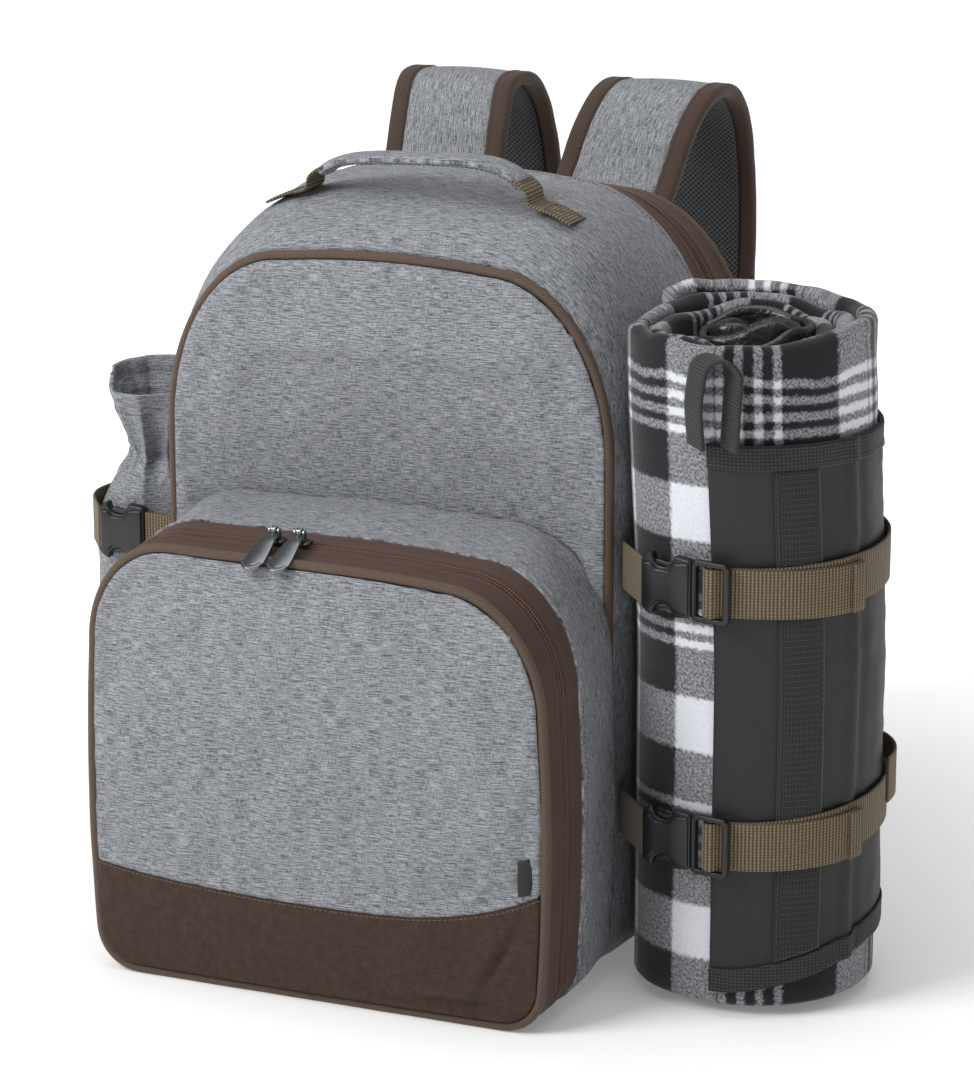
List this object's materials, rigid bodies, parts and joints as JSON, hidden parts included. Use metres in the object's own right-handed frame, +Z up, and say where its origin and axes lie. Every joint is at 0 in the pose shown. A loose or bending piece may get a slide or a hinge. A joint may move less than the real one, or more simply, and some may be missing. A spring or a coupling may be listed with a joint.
{
  "type": "cooler backpack with blanket roll",
  "caption": "Grey cooler backpack with a zipped front pocket, padded shoulder straps, a gathered side pocket for a bottle and a plaid blanket roll buckled to its side.",
  "frame": {"origin": "centre of the main body's flat base, on the floor, midway between the pocket's front piping and the back panel", "axes": "+Z up from the floor; -Y is the front with the zipped pocket, +Y the wearer's back with the shoulder straps; +X is the blanket roll's side and -X the bottle pocket's side"},
  "size_m": [0.5581, 0.5063, 0.5172],
  "materials": {
    "heather": "grey heathered plain-weave polyester with fine light and dark slubs, matt",
    "binding": "brown herringbone tape over cord piping, and brown zip tape with a brown coil",
    "twill": "dark brown diagonal twill, matt",
    "webbing": "ribbed khaki-brown polypropylene webbing",
    "mesh": "black open spacer mesh",
    "nylon": "black nylon twill with ribbed black tapes",
    "fleece": "brushed fleece in a black, grey and white check",
    "backing": "black coated backing cloth of the blanket, slightly shiny",
    "plastic": "black acetal, satin with a fine grain",
    "metal": "dark nickel-plated die-cast zinc, polished"
  },
  "bodies": {
    "pack": {"main_front_panel": "heather", "main_gusset": "heather", "main_front_piping": "binding", "main_rear_piping": "binding", "main_zip_tape_front": "binding", "main_zip_coil": "binding", "main_zip_tape_rear": "binding", "main_floor_strip": "heather", "pocket_front_panel": "heather", "pocket_base_band": "twill", "pocket_piping": "binding", "pocket_zip_tape_front": "binding", "pocket_zip_coil": "binding", "pocket_zip_tape_rear": "binding", "pocket_floor_strip": "heather", "pocket_gusset": "heather", "zip_slider_left": "metal", "zip_slider_right": "metal", "pocket_side_tab": "nylon", "back_panel": "heather", "back_pad": "mesh", "strap_pad_left": "heather", "strap_mesh_left": "mesh", "strap_binding_inner_left": "binding", "strap_binding_outer_left": "binding", "strap_buckle_left": "plastic", "strap_webbing_left": "webbing", "strap_pad_right": "heather", "strap_mesh_right": "mesh", "strap_binding_inner_right": "binding", "strap_binding_outer_right": "binding", "strap_buckle_right": "plastic", "strap_webbing_right": "webbing", "handle_grip": "heather", "handle_tab_left": "webbing", "handle_tab_right": "webbing", "bottle_pouch": "heather", "pouch_strap_front": "webbing", "pouch_strap_rear": "webbing", "pouch_buckle": "plastic", "blanket_fleece": "fleece", "blanket_backing": "backing", "carrier_panel": "nylon", "carrier_hem_lower": "nylon", "carrier_hem_upper": "nylon", "carrier_ladder_strip": "nylon", "carrier_carry_loop": "nylon", "upper_strap_short": "webbing", "upper_strap_long": "webbing", "upper_buckle_body": "plastic", "upper_buckle_frame": "plastic", "lower_strap_short": "webbing", "lower_strap_long": "webbing", "lower_buckle_body": "plastic", "lower_buckle_frame": "plastic", "lower_strap_loop": "webbing"},
    "pull_left": {"zip_pull_left": "metal"},
    "pull_right": {"zip_pull_right": "metal"}
  },
  "joints": [
    {"name": "pull_left_swing", "type": "hinge", "parent": "pack", "child": "pull_left", "pos_m": [-0.035, -0.129, 0.29302], "axis": [-1, 0, 0], "range_deg": [0, 210]},
    {"name": "pull_right_swing", "type": "hinge", "parent": "pack", "child": "pull_right", "pos_m": [-0.018, -0.129, 0.2934], "axis": [-1, 0, 0], "range_deg": [0, 210]}
  ]
}
